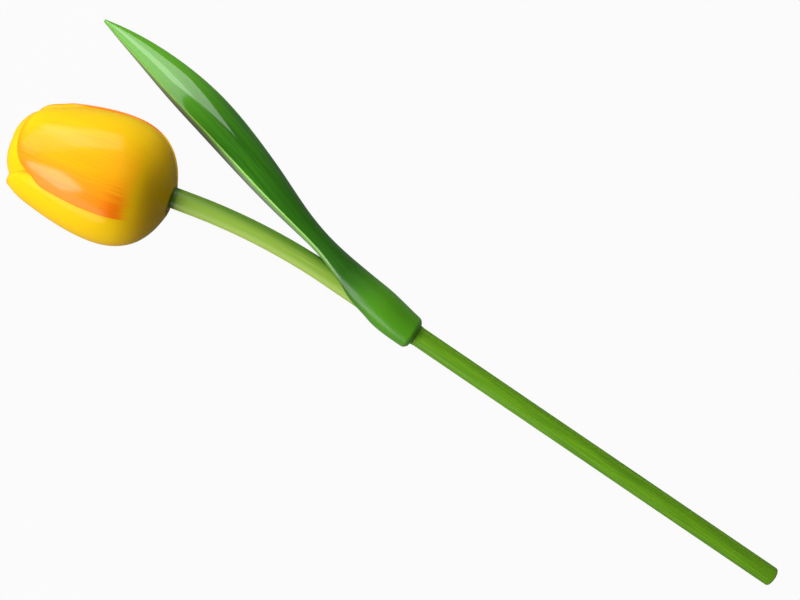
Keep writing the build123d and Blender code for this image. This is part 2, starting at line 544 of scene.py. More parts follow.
@dataclass(frozen=True)
class LeafPaint:
    """Green acrylic paint under two coats of clear gloss lacquer on carved lime wood.

    The lacquer gives sharp reflections on the blade, and is rubbed duller on the sleeve and thin on the
    arris. The paint below is brushed along the leaf. Painted shade makes it darkest low on the blade, and
    painted light makes it lighter at the tip and on the sleeve. The flat edge is painted greyer as a
    painted reflection, with a painted highlight as a bright line on its arris.
    """

    green: str = "377B0E"
    deep: str = "2A660A"
    # painted shade low on the blade
    lower_blade_painted_shade: str = "26600A"
    # painted light at the tip and on the sleeve
    light: str = "58A417"
    # painted highlight as a bright line on the arris
    arris: str = "9AD457"
    # painted grey reflection on the flat edge, from its front to its back
    edge_front_painted_reflection: str = "88B46A"
    edge_back_painted_reflection: str = "778468"
    stroke_mm: tuple[float, float, float] = (1.1, 1.1, 30.0)
    deep_strokes: tuple[float, float] = (0.6, 0.35)
    lower_shares: tuple[float, float] = (0.58, 0.38)
    tip_shares: tuple[float, float] = (0.58, 0.85)
    sleeve_shares: tuple[float, float] = (0.22, 0.08)
    lower_cover: float = 0.75
    sleeve_cover: float = 0.85
    side_shares: tuple[float, float] = (-0.95, -0.98)
    edge_shares: tuple[float, float] = (0.2, 0.32)
    front_mm: tuple[float, float] = (-0.6, -0.3)
    behind_mm: tuple[float, float] = (-0.8, -3.2)
    stroke_depth_mm: float = 0.06
    stroke_relief: float = 0.2
    roughness: float = 0.5
    mirror: float = 0.05
    lacquer_ior: float = 1.5
    arris_lacquer: float = 0.2
    rubbed_shares: tuple[float, float] = (0.4, 0.16)
    blade_roughness: float = 0.08
    sleeve_roughness: float = 0.3

    def material(self) -> bpy.types.Material:
        """Builds the material.

        Returns:
            The material.
        """
        paint, tree, shader = new_paint("Lacquered green acrylic on carved lime")
        place = put(tree, "ShaderNodeAttribute", attribute_name=PLACE).outputs["Vector"]
        through = put(tree, "ShaderNodeSeparateXYZ", {"Vector": place}).outputs["Y"]
        share = put(tree, "ShaderNodeAttribute", attribute_name=SHARE).outputs["Vector"]
        split = put(tree, "ShaderNodeSeparateXYZ", {"Vector": share}).outputs
        across, along = split["X"], split["Y"]
        strokes = streaks(tree, place, self.stroke_mm)
        colour = coated(tree, self.green, [
            (strokes, self.deep_strokes, 1.0, self.deep),
            # painted shade low on the blade
            (along, self.lower_shares, self.lower_cover, self.lower_blade_painted_shade),
            # painted light at the tip and on the sleeve
            (along, self.tip_shares, 1.0, self.light),
            (along, self.sleeve_shares, self.sleeve_cover, self.light),
        ])
        guides = (
            (across, self.side_shares), (along, self.edge_shares),
            (through, self.front_mm), (through, self.behind_mm),
        )
        at_side, on_blade, at_front, behind = (
            put(tree, "ShaderNodeMapRange", {0: guide, 1: start, 2: full}).outputs[0]
            for guide, (start, full) in guides
        )
        on_edge = put(tree, "ShaderNodeMath", {0: at_side, 1: on_blade}, operation="MULTIPLY").outputs[0]
        on_arris = put(tree, "ShaderNodeMath", {0: on_edge, 1: at_front}, operation="MULTIPLY").outputs[0]
        # painted grey reflection on the flat edge, and a painted highlight line on its arris
        front, back = linear(self.edge_front_painted_reflection), linear(self.edge_back_painted_reflection)
        edge = put(tree, "ShaderNodeMix", {0: behind, 6: front, 7: back}, data_type="RGBA").outputs[2]
        for where, over in ((on_edge, edge), (on_arris, linear(self.arris))):
            colour = put(tree, "ShaderNodeMix", {0: where, 6: colour, 7: over}, data_type="RGBA").outputs[2]
        start, full = self.rubbed_shares
        dullness = {0: along, 1: start, 2: full, 3: self.blade_roughness, 4: self.sleeve_roughness}
        relief = {"Height": strokes, "Strength": self.stroke_relief, "Distance": self.stroke_depth_mm * MM}
        thickness = {0: on_arris, 3: 1.0, 4: self.arris_lacquer}
        feed(tree, shader, {
            "Base Color": colour,
            "Normal": put(tree, "ShaderNodeBump", relief).outputs["Normal"],
            "Roughness": self.roughness,
            "Specular IOR Level": self.mirror,
            "Coat Weight": put(tree, "ShaderNodeMapRange", thickness).outputs[0],
            "Coat Roughness": put(
                tree, "ShaderNodeMapRange", dullness, interpolation_type="SMOOTHSTEP"
            ).outputs[0],
            "Coat IOR": self.lacquer_ior,
        })
        return paint


@dataclass(frozen=True)
class PetalPaint:
    """Yellow acrylic paint, dry-brushed with orange, under a coat of satin lacquer on carved lime wood.

    The orange is brushed lengthwise along the proud edge of each petal and thins out towards its
    middle in fine streaks. A fine orange rim follows the arris of the tongue. The lacquer is a little
    softer than the leaf's. Shares across a petal run from -1 at its proud edge to 1.
    """

    yellow: str = "FDCC0A"
    base: str = "F6C20A"
    amber: str = "FEB30C"
    orange: str = "FC8E14"
    thick_orange: str = "FA7A02"
    stroke_mm: tuple[float, float, float] = (0.7, 22.0, 22.0)
    stroke_range: tuple[float, float] = (0.25, 0.75)
    ragged_share: float = 0.17
    ragged_end_share: float = 0.14
    amber_shares: tuple[float, float] = (0.35, -0.35)
    orange_shares: tuple[float, float] = (-0.25, -0.95)
    thick_shares: tuple[float, float] = (-0.58, -0.85)
    thick_end_shares: tuple[float, float] = (0.36, 0.28)
    side_rim_shares: tuple[float, float] = (0.93, 0.99)
    end_rim_shares: tuple[float, float] = (0.965, 0.995)
    rim_shares: tuple[float, float] = (0.60, 0.72)
    rim_cover: float = 0.55
    base_shares: tuple[float, float] = (0.15, 0.25)
    hidden_shares: tuple[float, float] = (0.3, 0.1)
    stroke_depth_mm: float = 0.05
    stroke_relief: float = 0.2
    roughness: float = 0.5
    mirror: float = 0.05
    lacquer: float = 0.28
    lacquer_roughness: float = 0.15

    def material(self) -> bpy.types.Material:
        """Builds the material.

        Returns:
            The material.
        """
        paint, tree, shader = new_paint("Dry-brushed yellow acrylic on carved lime")
        share = put(tree, "ShaderNodeAttribute", attribute_name=SHARE).outputs["Vector"]
        split = put(tree, "ShaderNodeSeparateXYZ", {"Vector": share}).outputs
        across, along, hidden = split["X"], split["Y"], split["Z"]
        place = put(tree, "ShaderNodeAttribute", attribute_name=PLACE).outputs["Vector"]
        strokes = streaks(tree, place, self.stroke_mm)
        low, high = self.stroke_range
        spread = {0: strokes, 1: low, 2: high, 3: -self.ragged_share, 4: self.ragged_share}
        shift = put(tree, "ShaderNodeMapRange", spread).outputs[0]
        ragged = put(tree, "ShaderNodeMath", {0: across, 1: shift}, operation="ADD").outputs[0]
        sweep = {0: shift, 1: self.ragged_end_share, 2: along}
        ragged_end = put(tree, "ShaderNodeMath", sweep, operation="MULTIPLY_ADD").outputs[0]
        to_side = put(tree, "ShaderNodeMath", {0: across}, operation="ABSOLUTE").outputs[0]
        guides = (
            (ragged, self.thick_shares, 1.0), (ragged_end, self.thick_end_shares, 1.0),
            (to_side, self.side_rim_shares, 1.0), (along, self.end_rim_shares, 1.0),
            (along, self.rim_shares, self.rim_cover), (hidden, self.hidden_shares, 1.0),
        )
        near_edge, near_end, side_rim, end_rim, upper, face = (
            put(tree, "ShaderNodeMapRange", {0: guide, 1: start, 2: full, 4: cover}).outputs[0]
            for guide, (start, full), cover in guides
        )
        thick = put(tree, "ShaderNodeMath", {0: near_edge, 1: near_end}, operation="MULTIPLY").outputs[0]
        rim = put(tree, "ShaderNodeMath", {0: side_rim, 1: end_rim}, operation="MAXIMUM").outputs[0]
        rim = put(tree, "ShaderNodeMath", {0: rim, 1: upper}, operation="MULTIPLY").outputs[0]
        colour = coated(tree, self.yellow, [
            (ragged, self.amber_shares, 1.0, self.amber),
            (ragged, self.orange_shares, 1.0, self.orange),
        ])
        for where, over in ((thick, linear(self.thick_orange)), (rim, linear(self.orange))):
            colour = put(tree, "ShaderNodeMix", {0: where, 6: colour, 7: over}, data_type="RGBA").outputs[2]
        relief = {"Height": strokes, "Strength": self.stroke_relief, "Distance": self.stroke_depth_mm * MM}
        feed(tree, shader, {
            "Base Color": coated(tree, self.base, [(ragged_end, self.base_shares, face, colour)]),
            "Normal": put(tree, "ShaderNodeBump", relief).outputs["Normal"],
            "Roughness": self.roughness,
            "Specular IOR Level": self.mirror,
            "Coat Weight": self.lacquer,
            "Coat Roughness": self.lacquer_roughness,
        })
        return paint


# The stem


@dataclass(frozen=True)
class Stick:
    """The stem: a round stick, sanded thinner below and bent near its upper end."""

    foot_radius: float = 3.9
    radius: float = 4.1
    foot_dome: float = 0.5
    foot_easing: float = 0.8
    free_length: float = 169.0
    shoulder_length: float = 1.0
    leaf_seat: float = 0.8
    straight_length: float = 210.6
    bend_radius: float = 230.7
    neck_length: float = 8.5
    tenon_length: float = 18.0
    tenon_chamfer: float = 0.6
    dome_shares: tuple[float, ...] = (0.04, 0.2, 0.4, 0.6, 0.8, 1.0)
    easing_degrees: int = 10
    step: float = 1.5
    sides: int = 72

    @property
    def leaf_height(self) -> float:
        """How far up the stick the leaf's sleeve starts."""
        return self.free_length + self.shoulder_length + self.leaf_seat

    def bend_length(self, lie: Lie) -> float:
        """The length of the bend along the stick's axis."""
        return self.bend_radius * lie.bend_angle

    def point(self, lie: Lie, along: float) -> Vector:
        """Gives a point of the stick's axis.

        Args:
            lie: how the tulip lies.
            along: the length of axis from the foot.

        Returns:
            The point, in millimetres in the row frame.
        """
        foot = lie.sleeve_foot - lie.up * self.leaf_height
        bent = min(max(along - self.straight_length, 0), self.bend_length(lie))
        angle = bent / self.bend_radius
        arc = lie.up * sin(angle) + lie.bend_side * (1 - cos(angle))
        neck = max(along - self.straight_length - self.bend_length(lie), 0)
        return foot + lie.up * min(along, self.straight_length) + arc * self.bend_radius + lie.head_way * neck

    def stations(self, lie: Lie) -> list[tuple[float, float]]:
        """Lists the rings of the stick, from the domed foot to the end of the tenon.

        Args:
            lie: how the tulip lies.

        Returns:
            For each ring its length along the axis and its radius.
        """
        rim = self.foot_radius - self.foot_easing
        rim_height = self.foot_dome * (rim / self.foot_radius) ** 2
        dome = [(rim_height * share**2, rim * share) for share in self.dome_shares]
        turns = [radians(turn) for turn in range(self.easing_degrees, 91, self.easing_degrees)]
        corner = [
            (rim_height + self.foot_easing * (1 - cos(t)), rim + self.foot_easing * sin(t)) for t in turns
        ]
        end = self.straight_length + self.bend_length(lie) + self.neck_length + self.tenon_length
        low = np.arange(corner[-1][0] + self.step, self.free_length, self.step)
        high = np.arange(self.free_length + self.shoulder_length, end - self.tenon_chamfer, self.step)
        body = [(float(a), self.foot_radius) for a in low] + [(self.free_length, self.foot_radius)]
        body += [(float(a), self.radius) for a in high] + [(end - self.tenon_chamfer, self.radius)]
        return dome + corner + body + [(end, self.radius - self.tenon_chamfer)]

    def follow_path(self, paint: bpy.types.Material) -> bpy.types.NodeTree:
        """Builds the node tree that lays a round stick along a path.

        Args:
            paint: the stick's material.

        Returns:
            The tree, with an input for the number of sides.
        """
        tree, given = open_tree(
            "Stick along its path", {"Path": "NodeSocketGeometry", "Sides": "NodeSocketInt"}
        )
        ring = put(tree, "GeometryNodeCurvePrimitiveCircle", {"Resolution": given["Sides"], "Radius": 1.0})
        spot = put(tree, "GeometryNodeInputPosition").outputs[0]
        ring = put(
            tree, "GeometryNodeStoreNamedAttribute",
            {"Geometry": ring.outputs[0], "Name": "around", "Value": spot},
            data_type="FLOAT_VECTOR", domain="POINT",
        )
        path = put(tree, "GeometryNodeMeshToCurve", {"Mesh": given["Path"]})
        girth = put(tree, "GeometryNodeInputNamedAttribute", {"Name": "girth"}, data_type="FLOAT").outputs[0]
        swept = put(
            tree, "GeometryNodeCurveToMesh",
            {"Curve": path.outputs[0], "Profile Curve": ring.outputs[0], "Scale": girth, "Fill Caps": True},
        )
        around = put(
            tree, "GeometryNodeInputNamedAttribute", {"Name": "around"}, data_type="FLOAT_VECTOR"
        ).outputs[0]
        along = put(tree, "GeometryNodeInputNamedAttribute", {"Name": "along"}, data_type="FLOAT").outputs[0]
        flat = put(
            tree, "ShaderNodeVectorMath", {0: around, "Scale": self.radius}, operation="SCALE"
        ).outputs[0]
        lift = put(tree, "ShaderNodeCombineXYZ", {"Z": along}).outputs[0]
        place = put(tree, "ShaderNodeVectorMath", {0: flat, 1: lift}, operation="ADD").outputs[0]
        marked = put(
            tree, "GeometryNodeStoreNamedAttribute",
            {"Geometry": swept.outputs[0], "Name": PLACE, "Value": place},
            data_type="FLOAT_VECTOR", domain="POINT",
        )
        smooth = put(tree, "GeometryNodeSetShadeSmooth", {"Geometry": marked.outputs[0]})
        close_tree(tree, smooth.outputs[0], paint)
        return tree

    def build(self, lie: Lie) -> bpy.types.Object:
        """Builds the stem.

        Args:
            lie: how the tulip lies.

        Returns:
            The painted stem.
        """
        stations = self.stations(lie)
        mesh = bpy.data.meshes.new("painted_stem")
        points = [self.point(lie, along) * MM for along, _ in stations]
        mesh.from_pydata(points, [(k, k + 1) for k in range(len(points) - 1)], [])
        for mark, values in (("along", [a for a, _ in stations]), ("girth", [r * MM for _, r in stations])):
            mesh.attributes.new(mark, "FLOAT", "POINT").data.foreach_set("value", values)
        stem = bpy.data.objects.new("painted_stem", mesh)
        bpy.context.scene.collection.objects.link(stem)
        run_tree(stem, self.follow_path(StickPaint().material()), {"Sides": self.sides})
        return stem


# The leaf


@dataclass(frozen=True)
class Leaf:
    """The leaf: a drilled sleeve that opens into a twisted blade.

    Each row of the two tables is a section: height on the length; place sideways on the spread and
    below the axis on the droop; width; outer rise and inner belly; edge on the edge's thickness; and
    the turn of the outer face from the sky, in degrees. The loops stand closer together over a small
    share of the length at the sleeve's mouth.
    """

    length: float = 168.0
    spread: float = 33.2
    droop: float = 33.0
    sleeve_width: float = 14.7
    blade_width: float = 16.8
    blade_crown: float = 2.7
    edge_thickness: float = 4.5
    lower_edge_share: float = 0.5
    arris: float = 0.5
    bore_clearance: float = 0.1
    mouth_chamfer: float = 0.7
    bore_share: float = 0.34
    rows: int = 300
    dense_rows: int = 60
    dense_share: float = 0.02
    edge_points: tuple[int, int, int, int] = (44, 5, 34, 7)
    sleeve_shares: tuple = (
        (0.000, -0.010, -0.003, 0.700, 0.690, 0.650, 0.06, 30.0),
        (0.004, -0.009, -0.004, 0.812, 0.800, 0.760, 0.06, 30.0),
        (0.015, -0.006, -0.006, 0.908, 0.895, 0.855, 0.06, 30.0),
        (0.054, 0.012, -0.012, 0.975, 0.970, 0.930, 0.06, 30.0),
        (0.101, 0.044, -0.024, 1.000, 1.000, 0.940, 0.10, 29.0),
        (0.156, 0.096, -0.049, 0.940, 0.770, 0.420, 0.34, 26.0),
        (0.214, 0.173, -0.061, 0.775, 0.470, 0.270, 0.42, 32.0),
        (0.280, 0.263, -0.046, 0.605, 0.330, 0.140, 0.46, 37.0),
    )
    blade_shares: tuple = (
        (0.352, 0.358, -0.006, 0.560, 0.82, -0.10, 0.67, 35.0),
        (0.442, 0.492, 0.072, 0.768, 0.93, -0.26, 0.85, 32.0),
        (0.549, 0.652, 0.186, 0.940, 1.00, -0.36, 0.98, 30.0),
        (0.656, 0.792, 0.339, 0.994, 1.00, -0.38, 1.00, 28.0),
        (0.769, 0.895, 0.532, 0.875, 0.86, -0.33, 0.89, 26.0),
        (0.876, 0.965, 0.738, 0.577, 0.56, -0.20, 0.67, 24.0),
        (0.954, 0.992, 0.888, 0.274, 0.24, -0.08, 0.44, 22.0),
        (1.000, 1.000, 1.000, 0.062, 0.07, -0.02, 0.22, 20.0),
    )

    def section_rows(self) -> np.ndarray:
        """Turns the two tables to millimetres.

        Returns:
            A row for each section, the sleeve's first.
        """
        half_sleeve = self.sleeve_width / 2
        scales = [1.0, self.spread, self.droop, 0.0, 0.0, 0.0, self.edge_thickness, 1.0]
        tables = (
            (self.sleeve_shares, self.sleeve_width, half_sleeve),
            (self.blade_shares, self.blade_width, self.blade_crown),
        )
        rows = []
        for table, width, rise in tables:
            scales[3:6] = width, rise, rise
            rows.append(np.array(table) * scales)
        return np.concatenate(rows)

    def loops(self, leaf_height: float) -> tuple[np.ndarray, dict[str, np.ndarray]]:
        """Works out the closed section loops, with their arrises rounded.

        Args:
            leaf_height: how far up the stick the sleeve starts.

        Returns:
            The loops in upright millimetres, and the marks for the paint.
        """
        sections = self.section_rows()
        even = np.linspace(0, 1, self.rows)
        dense = self.dense_share * even[1:self.dense_rows] / even[self.dense_rows]
        heights = np.sort(np.concatenate([even, dense]))
        values = smooth_rows(sections[:, 0], sections[:, 1:], heights)
        side, drop, width, rise, belly, edge, turn = (values[:, k:k + 1] for k in range(7))
        angle = np.radians(turn)
        out = np.concatenate([np.cos(angle), np.sin(angle)], axis=1)
        across = np.concatenate([-np.sin(angle), np.cos(angle)], axis=1)
        middle = np.concatenate([-drop, side], axis=1)
        upper, lower = middle - across * width / 2, middle + across * width / 2
        upper_back, lower_back = upper - out * edge, lower - out * edge * self.lower_edge_share
        corners = (upper, lower, lower_back, upper_back, upper)
        bows = (rise[:, 0], 0 * rise[:, 0], -belly[:, 0], 0 * rise[:, 0])
        edges = list(zip(corners[:-1], corners[1:], bows, self.edge_points))
        loop = rounded_loop(edges, out, self.arris)
        columns = loop.shape[1]
        z = np.repeat((leaf_height + heights * self.length)[:, None], columns, axis=1)
        points = np.concatenate([loop, z[:, :, None]], axis=2)
        from_middle = loop - middle[:, None, :]
        sideways = np.einsum("rcx,rx->rc", from_middle, across)
        through = np.einsum("rcx,rx->rc", from_middle, out)
        u = 2 * sideways / width
        v = np.repeat(heights[:, None], columns, axis=1)
        marks = {
            SHARE: np.stack([u, v, 0 * v], axis=-1),
            PLACE: np.stack([sideways, through, z - leaf_height], axis=-1),
        }
        return points, marks

    def build(self, lie: Lie, stick: Stick) -> bpy.types.Object:
        """Builds the leaf on its stick.

        Args:
            lie: how the tulip lies.
            stick: the stick that the sleeve slips over.

        Returns:
            The painted leaf.
        """
        place = lie.upright(stick.leaf_height)
        loops, marks = self.loops(stick.leaf_height)
        leaf = skinned("painted_leaf", loops, marks, place)
        bore = stick.radius + self.bore_clearance
        mouth = bore + self.mouth_chamfer
        drill = turned("drill", [
            (stick.leaf_height - 2 * self.mouth_chamfer, mouth + 2 * self.mouth_chamfer),
            (stick.leaf_height + self.mouth_chamfer, bore),
            (stick.leaf_height + self.bore_share * self.length, bore),
        ], place)
        drill_out(leaf, drill)
        leaf.data.materials.clear()
        leaf.data.materials.append(LeafPaint().material())
        return leaf


def bowed(
    start: np.ndarray, stop: np.ndarray, out: np.ndarray, bow: np.ndarray, shares: np.ndarray
) -> np.ndarray:
    """Gives points of circular arcs, one arc for each row.

    Args:
        start: the arcs' first points.
        stop: their last points.
        out: the way in which each arc rises from its chord.
        bow: how far it rises.
        shares: the places wanted along each arc, rows by places, from 0 to 1.

    Returns:
        Rows by places of points.
    """
    half = np.linalg.norm(stop - start, axis=1) / 2
    bow = np.where(np.abs(bow) < TINY_MM, TINY_MM, bow)
    radius = ((half**2 + bow**2) / (2 * bow))[:, None]
    reach = 2 * np.arctan(bow / half)[:, None]
    angle = reach * (2 * shares - 1)
    chord_share = (1 + np.sin(angle) / np.sin(reach)) / 2
    rise = radius * np.cos(angle) - (radius - bow[:, None])
    chord = (stop - start)[:, None, :] * chord_share[:, :, None]
    return start[:, None, :] + chord + out[:, None, :] * rise[:, :, None]


def rounded_loop(
    edges: list[tuple], out: np.ndarray, rounding: float, most_trim: float = 0.3, corner_points: int = 5
) -> np.ndarray:
    """Joins the bowed edges of each section into a loop with rounded corners.

    Args:
        edges: for each edge its start, stop, bow and number of points.
        out: the way in which the edges rise.
        rounding: how far from a corner its rounding starts, at most.
        most_trim: the most that a rounding takes from either end of an edge, as a share of its length.
        corner_points: how many points a rounded corner has.

    Returns:
        Rows by columns of points.
    """
    parts = []
    for start, stop, bow, count in edges:
        length = np.linalg.norm(stop - start, axis=1)[:, None]
        trim = np.minimum(rounding / np.maximum(length, TINY_MM), most_trim)
        shares = trim + (1 - 2 * trim) * np.linspace(0, 1, count)[None, :]
        parts.append((bowed(start, stop, out, bow, shares), stop))
    loop = []
    for k, (points, corner) in enumerate(parts):
        after = parts[(k + 1) % len(parts)][0][:, :1]
        t = np.linspace(0, 1, corner_points + 2)[1:-1][None, :, None]
        bend = (1 - t) ** 2 * points[:, -1:] + 2 * t * (1 - t) * corner[:, None, :] + t**2 * after
        loop += [points, bend]
    return np.concatenate(loop, axis=1)


# The flower head


@dataclass(frozen=True)
class FlowerHead:
    """The head: three carved petals that lap round a closed bud of three more.

    The tables give outlines: height on the petal's or the head's length, and radius or half width on
    the head's radius. Up to the two floor heights, the petals and the bud leave a floor of wood round
    the socket, and above them a least reach from the axis. A petal's seam starts shallow, and has its
    full arris higher up. The bud closes to a blunt tip over the last share of its length.
    """

    radius: float = 25.0
    length: float = 65.6
    petal_length: float = 59.3
    petal_count: int = 3
    petal_lean: float = 2.7
    bud_lean: float = 1.5
    lean_turn: float = -28.7
    petal_lap: float = 0.25
    first_turn: float = 24.2
    second_petal: tuple[float, float] = (11.0, 0.060)
    last_petal: tuple[float, float] = (5.0, 0.022)
    arris: float = 0.7
    bud_arris: float = 0.35
    bud_arris_share: float = 0.3
    seam_start: float = 0.08
    seam_rise: float = 0.3
    seam_least: float = 0.02
    bud_seam_degrees: float = 0.05
    corner_softness: float = 0.06
    uncut_share: float = 9.0
    end_share: float = 0.9999
    petal_depth: float = 1.5
    petal_floor: float = 4.3
    petal_floor_height: float = 21.0
    bud_floor: float = 4.6
    bud_floor_height: float = 15.0
    least_reach: float = 0.3
    side_shares: tuple[float, float] = (0.25, 0.6)
    closing_start: float = 0.975
    closing_length: float = 0.025
    closing_most: float = 0.99
    bud_across: tuple[float, float] = (0.7, 0.3)
    petal_grid: tuple[int, int] = (150, 81)
    bud_grid: tuple[int, int] = (170, 60)
    back_step: int = 4
    lean_rounds: int = 12
    limit_rounds: int = 10
    socket_offset: float = 1.3
    socket_clearance: float = 0.05
    socket_spare: float = 1.5
    socket_chamfer: float = 0.6
    block_shares: tuple = (
        (0.000, 0.244), (0.050, 0.520), (0.146, 0.802), (0.292, 0.958), (0.440, 0.974),
        (0.634, 0.897), (0.828, 0.762), (0.960, 0.627), (1.000, 0.560),
    )
    bud_shares: tuple = (
        (0.000, 0.200), (0.200, 0.780), (0.600, 0.760), (0.780, 0.645), (0.873, 0.553),
        (0.920, 0.460), (0.955, 0.320), (0.976, 0.165), (0.984, 0.020),
    )
    tongue_shares: tuple = (
        (0.560, 1.100), (0.665, 0.903), (0.765, 0.767), (0.830, 0.670), (0.917, 0.555),
        (0.968, 0.400), (0.992, 0.240), (1.000, 0.000),
    )

    def profile(self, shares: tuple, length: float) -> np.ndarray:
        """Gives a turned outline as dense heights and radii."""
        return smooth_outline(np.array(shares) * (length, self.radius))

    def reach(self, angle: np.ndarray, height: np.ndarray, lean: float, outline: np.ndarray) -> np.ndarray:
        """Measures from the head's axis to a turned surface that leans out from the foot of that axis.

        Args:
            angle: angles from the middle of the petal, in radians.
            height: heights up the head's axis.
            lean: the lean, in degrees.
            outline: the turned surface's heights and radii.

        Returns:
            The distances from the axis.
        """
        tilt, way = radians(lean), radians(self.lean_turn)
        axis = np.array([sin(tilt) * cos(way), sin(tilt) * sin(way), cos(tilt)])
        angle, height = np.broadcast_arrays(angle, height)
        distance = np.interp(height, outline[:, 0], outline[:, 1])
        for _ in range(self.lean_rounds):
            x, y = distance * np.cos(angle), distance * np.sin(angle)
            up = x * axis[0] + y * axis[1] + height * axis[2]
            off = np.sqrt(np.maximum(distance**2 + height**2 - up**2, 1e-9))
            distance = np.maximum(distance + np.interp(up, outline[:, 0], outline[:, 1]) - off, 0.01)
        return distance

    def petal_loops(self) -> tuple[np.ndarray, dict[str, np.ndarray]]:
        """Works out one outer petal about the head's axis, its middle on the X axis.

        Returns:
            The closed loops in the head's millimetres, and the marks for the paint.
        """
        block = self.profile(self.block_shares, self.petal_length)
        bud = self.profile(self.bud_shares, self.length)
        tongue = smooth_outline(np.array(self.tongue_shares) * (self.petal_length, self.radius))
        rows, face_columns = self.petal_grid
        z = self.petal_length * self.end_share * (1 - np.cos(np.linspace(0, pi, rows))) / 2
        tongue_width = np.interp(z, tongue[:, 0], tongue[:, 1])
        half_width = np.where(z < tongue[0, 0], self.uncut_share * self.radius, tongue_width)
        widest = radians(180 / self.petal_count + self.petal_lap)
        limits = []
        for side, most in ((-1, widest), (1, widest + radians(self.second_petal[0]))):
            limit = np.full_like(z, most)
            for _ in range(self.limit_rounds):
                share = np.clip(half_width / self.reach(side * limit, z, self.petal_lean, block), 0, 1)
                limit = soft_minimum(most, np.arcsin(share), self.corner_softness)
            limits.append(side * limit)
        c = -np.cos(np.linspace(0, pi, face_columns))[None, :]
        angle = (limits[0] + limits[1])[:, None] / 2 + (limits[1] - limits[0])[:, None] / 2 * c
        height = np.repeat(z[:, None], c.size, axis=1)
        outer = self.reach(angle, height, self.petal_lean, block)

        y = outer * np.sin(angle)
        both = np.concatenate([tongue, tongue * (1, -1)])
        gap = np.sqrt((y[:, :, None] - both[:, 1]) ** 2 + (height[:, :, None] - both[:, 0]) ** 2).min(axis=2)
        seam = outer * (angle + widest)
        risen = (height / self.petal_length - self.seam_start) / self.seam_rise
        seam_arris = self.arris * np.clip(risen, self.seam_least, 1)
        outer = outer - sunk(gap, self.arris) - sunk(seam, seam_arris)

        bud_radius = np.interp(height, bud[:, 0], bud[:, 1])
        floor = np.where(
            height < self.petal_floor_height, self.socket_offset + self.petal_floor, self.least_reach
        )
        inner = np.maximum(bud_radius - self.petal_depth, floor)
        inner = np.minimum(inner, outer - self.least_reach)
        steps = np.array(self.side_shares)
        right = outer[:, -1:] + (inner[:, -1:] - outer[:, -1:]) * steps
        left = inner[:, :1] + (outer[:, :1] - inner[:, :1]) * steps[::-1].cumsum() / steps.sum()
        back = slice(None, None, -self.back_step)
        radial = np.concatenate([outer, right, inner[:, back], left[:, :1]], axis=1)
        turns = np.concatenate(
            [angle, np.repeat(angle[:, -1:], 2, axis=1), angle[:, back], angle[:, :1]], axis=1
        )
        columns = radial.shape[1]
        tall = np.repeat(z[:, None], columns, axis=1)
        u = np.concatenate([c, [[1, 1]], c[:, back], [[-1]]], axis=1).repeat(len(z), axis=0)
        hidden = np.concatenate([0 * c, np.ones((1, columns - c.size))], axis=1).repeat(len(z), axis=0)
        loops = np.stack([radial * np.cos(turns), radial * np.sin(turns), tall], axis=-1)
        marks = {
            SHARE: np.stack([u, tall / self.petal_length, hidden], axis=-1),
            PLACE: np.stack([turns * self.radius, radial - self.radius, tall], axis=-1),
        }
        return loops, marks

    def bud_loops(self) -> tuple[np.ndarray, dict[str, np.ndarray]]:
        """Works out the closed bud and the core that the outer petals stand on.

        Returns:
            The closed loops in the head's millimetres, and the marks for the paint.
        """
        bud = self.profile(self.bud_shares, self.length)
        rows, columns = self.bud_grid
        z = bud[-1, 0] * (1 - np.cos(np.linspace(0, pi, rows))) / 2
        half = radians(180 / self.petal_count)
        edge = radians(self.bud_seam_degrees)
        angle = np.linspace(-half + edge, half - edge, columns)[None, :]
        height = np.repeat(z[:, None], angle.size, axis=1)
        reach = self.reach(angle, height, self.bud_lean, bud)
        seam = reach * (angle + half)
        reach = reach - sunk(seam, np.minimum(self.bud_arris, self.bud_arris_share * reach))
        closing = (z / z[-1] - self.closing_start) / self.closing_length
        closing = np.clip(closing, 0, self.closing_most)[:, None]
        floor = np.where(
            height < self.bud_floor_height, self.socket_offset + self.bud_floor, self.least_reach
        )
        reach = np.maximum(reach, floor) * np.sqrt(1 - closing**2)
        sectors, turns = [], []
        for k in range(self.petal_count):
            turn = radians(self.first_turn + 180 / self.petal_count + k * 360 / self.petal_count)
            sectors.append(reach)
            turns.append(np.repeat(angle + turn, len(z), axis=0))
        radial, turned_by = np.concatenate(sectors, axis=1), np.concatenate(turns, axis=1)
        tall = np.repeat(z[:, None], radial.shape[1], axis=1)
        u = np.tile(angle / half, (len(z), self.petal_count))
        loops = np.stack([radial * np.cos(turned_by), radial * np.sin(turned_by), tall], axis=-1)
        middle, spread = self.bud_across
        marks = {
            SHARE: np.stack([middle + spread * u, tall / self.length, 0 * u + 1], axis=-1),
            PLACE: np.stack([turned_by * self.radius, radial - self.radius, tall], axis=-1),
        }
        return loops, marks

